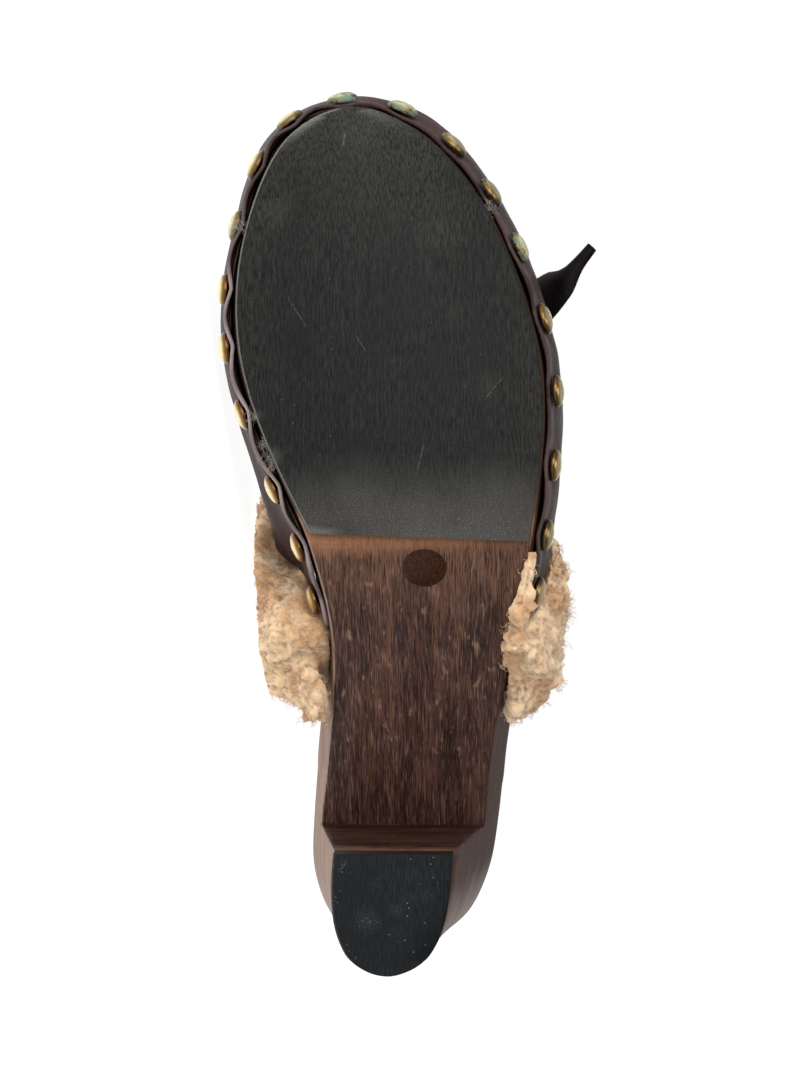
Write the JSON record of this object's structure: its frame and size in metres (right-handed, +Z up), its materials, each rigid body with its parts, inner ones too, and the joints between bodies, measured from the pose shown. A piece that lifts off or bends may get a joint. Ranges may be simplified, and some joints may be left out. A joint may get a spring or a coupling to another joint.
{
  "type": "shearling clog",
  "caption": "Left heeled wooden clog lying on its inner side: leather upper nailed to a stained wood sole, fleece cuff, leather bow, rubber half-sole and heel tap.",
  "frame": {"origin": "on the floor under the middle of the box of the lying shoe", "axes": "+Z up from the floor towards the shoe's outer side; the tread faces -Y; the toe points to -X"},
  "size_m": [0.241, 0.107, 0.1031],
  "materials": {
    "wood": "dark stained and waxed beech",
    "rubber": "matt black, scuffed",
    "leather": "dark brown, semi-gloss",
    "fleece": "curly tan shearling",
    "brass": "aged, domed"
  },
  "bodies": {
    "root": {"wood_sole": "wood", "forefoot_outsole": "rubber", "heel_tap": "rubber", "upper": "leather", "shearling_cuff": "fleece", "bow_knot": "leather", "bow_loop_inner": "leather", "bow_loop_outer": "leather", "bow_tail_inner": "leather", "bow_tail_outer": "leather", "stud_01": "brass", "stud_02": "brass", "stud_03": "brass", "stud_04": "brass", "stud_05": "brass", "stud_06": "brass", "stud_07": "brass", "stud_08": "brass", "stud_09": "brass", "stud_10": "brass", "stud_11": "brass", "stud_12": "brass", "stud_13": "brass", "stud_14": "brass", "stud_15": "brass", "stud_16": "brass", "stud_17": "brass", "stud_18": "brass", "stud_19": "brass"}
  },
  "joints": []
}
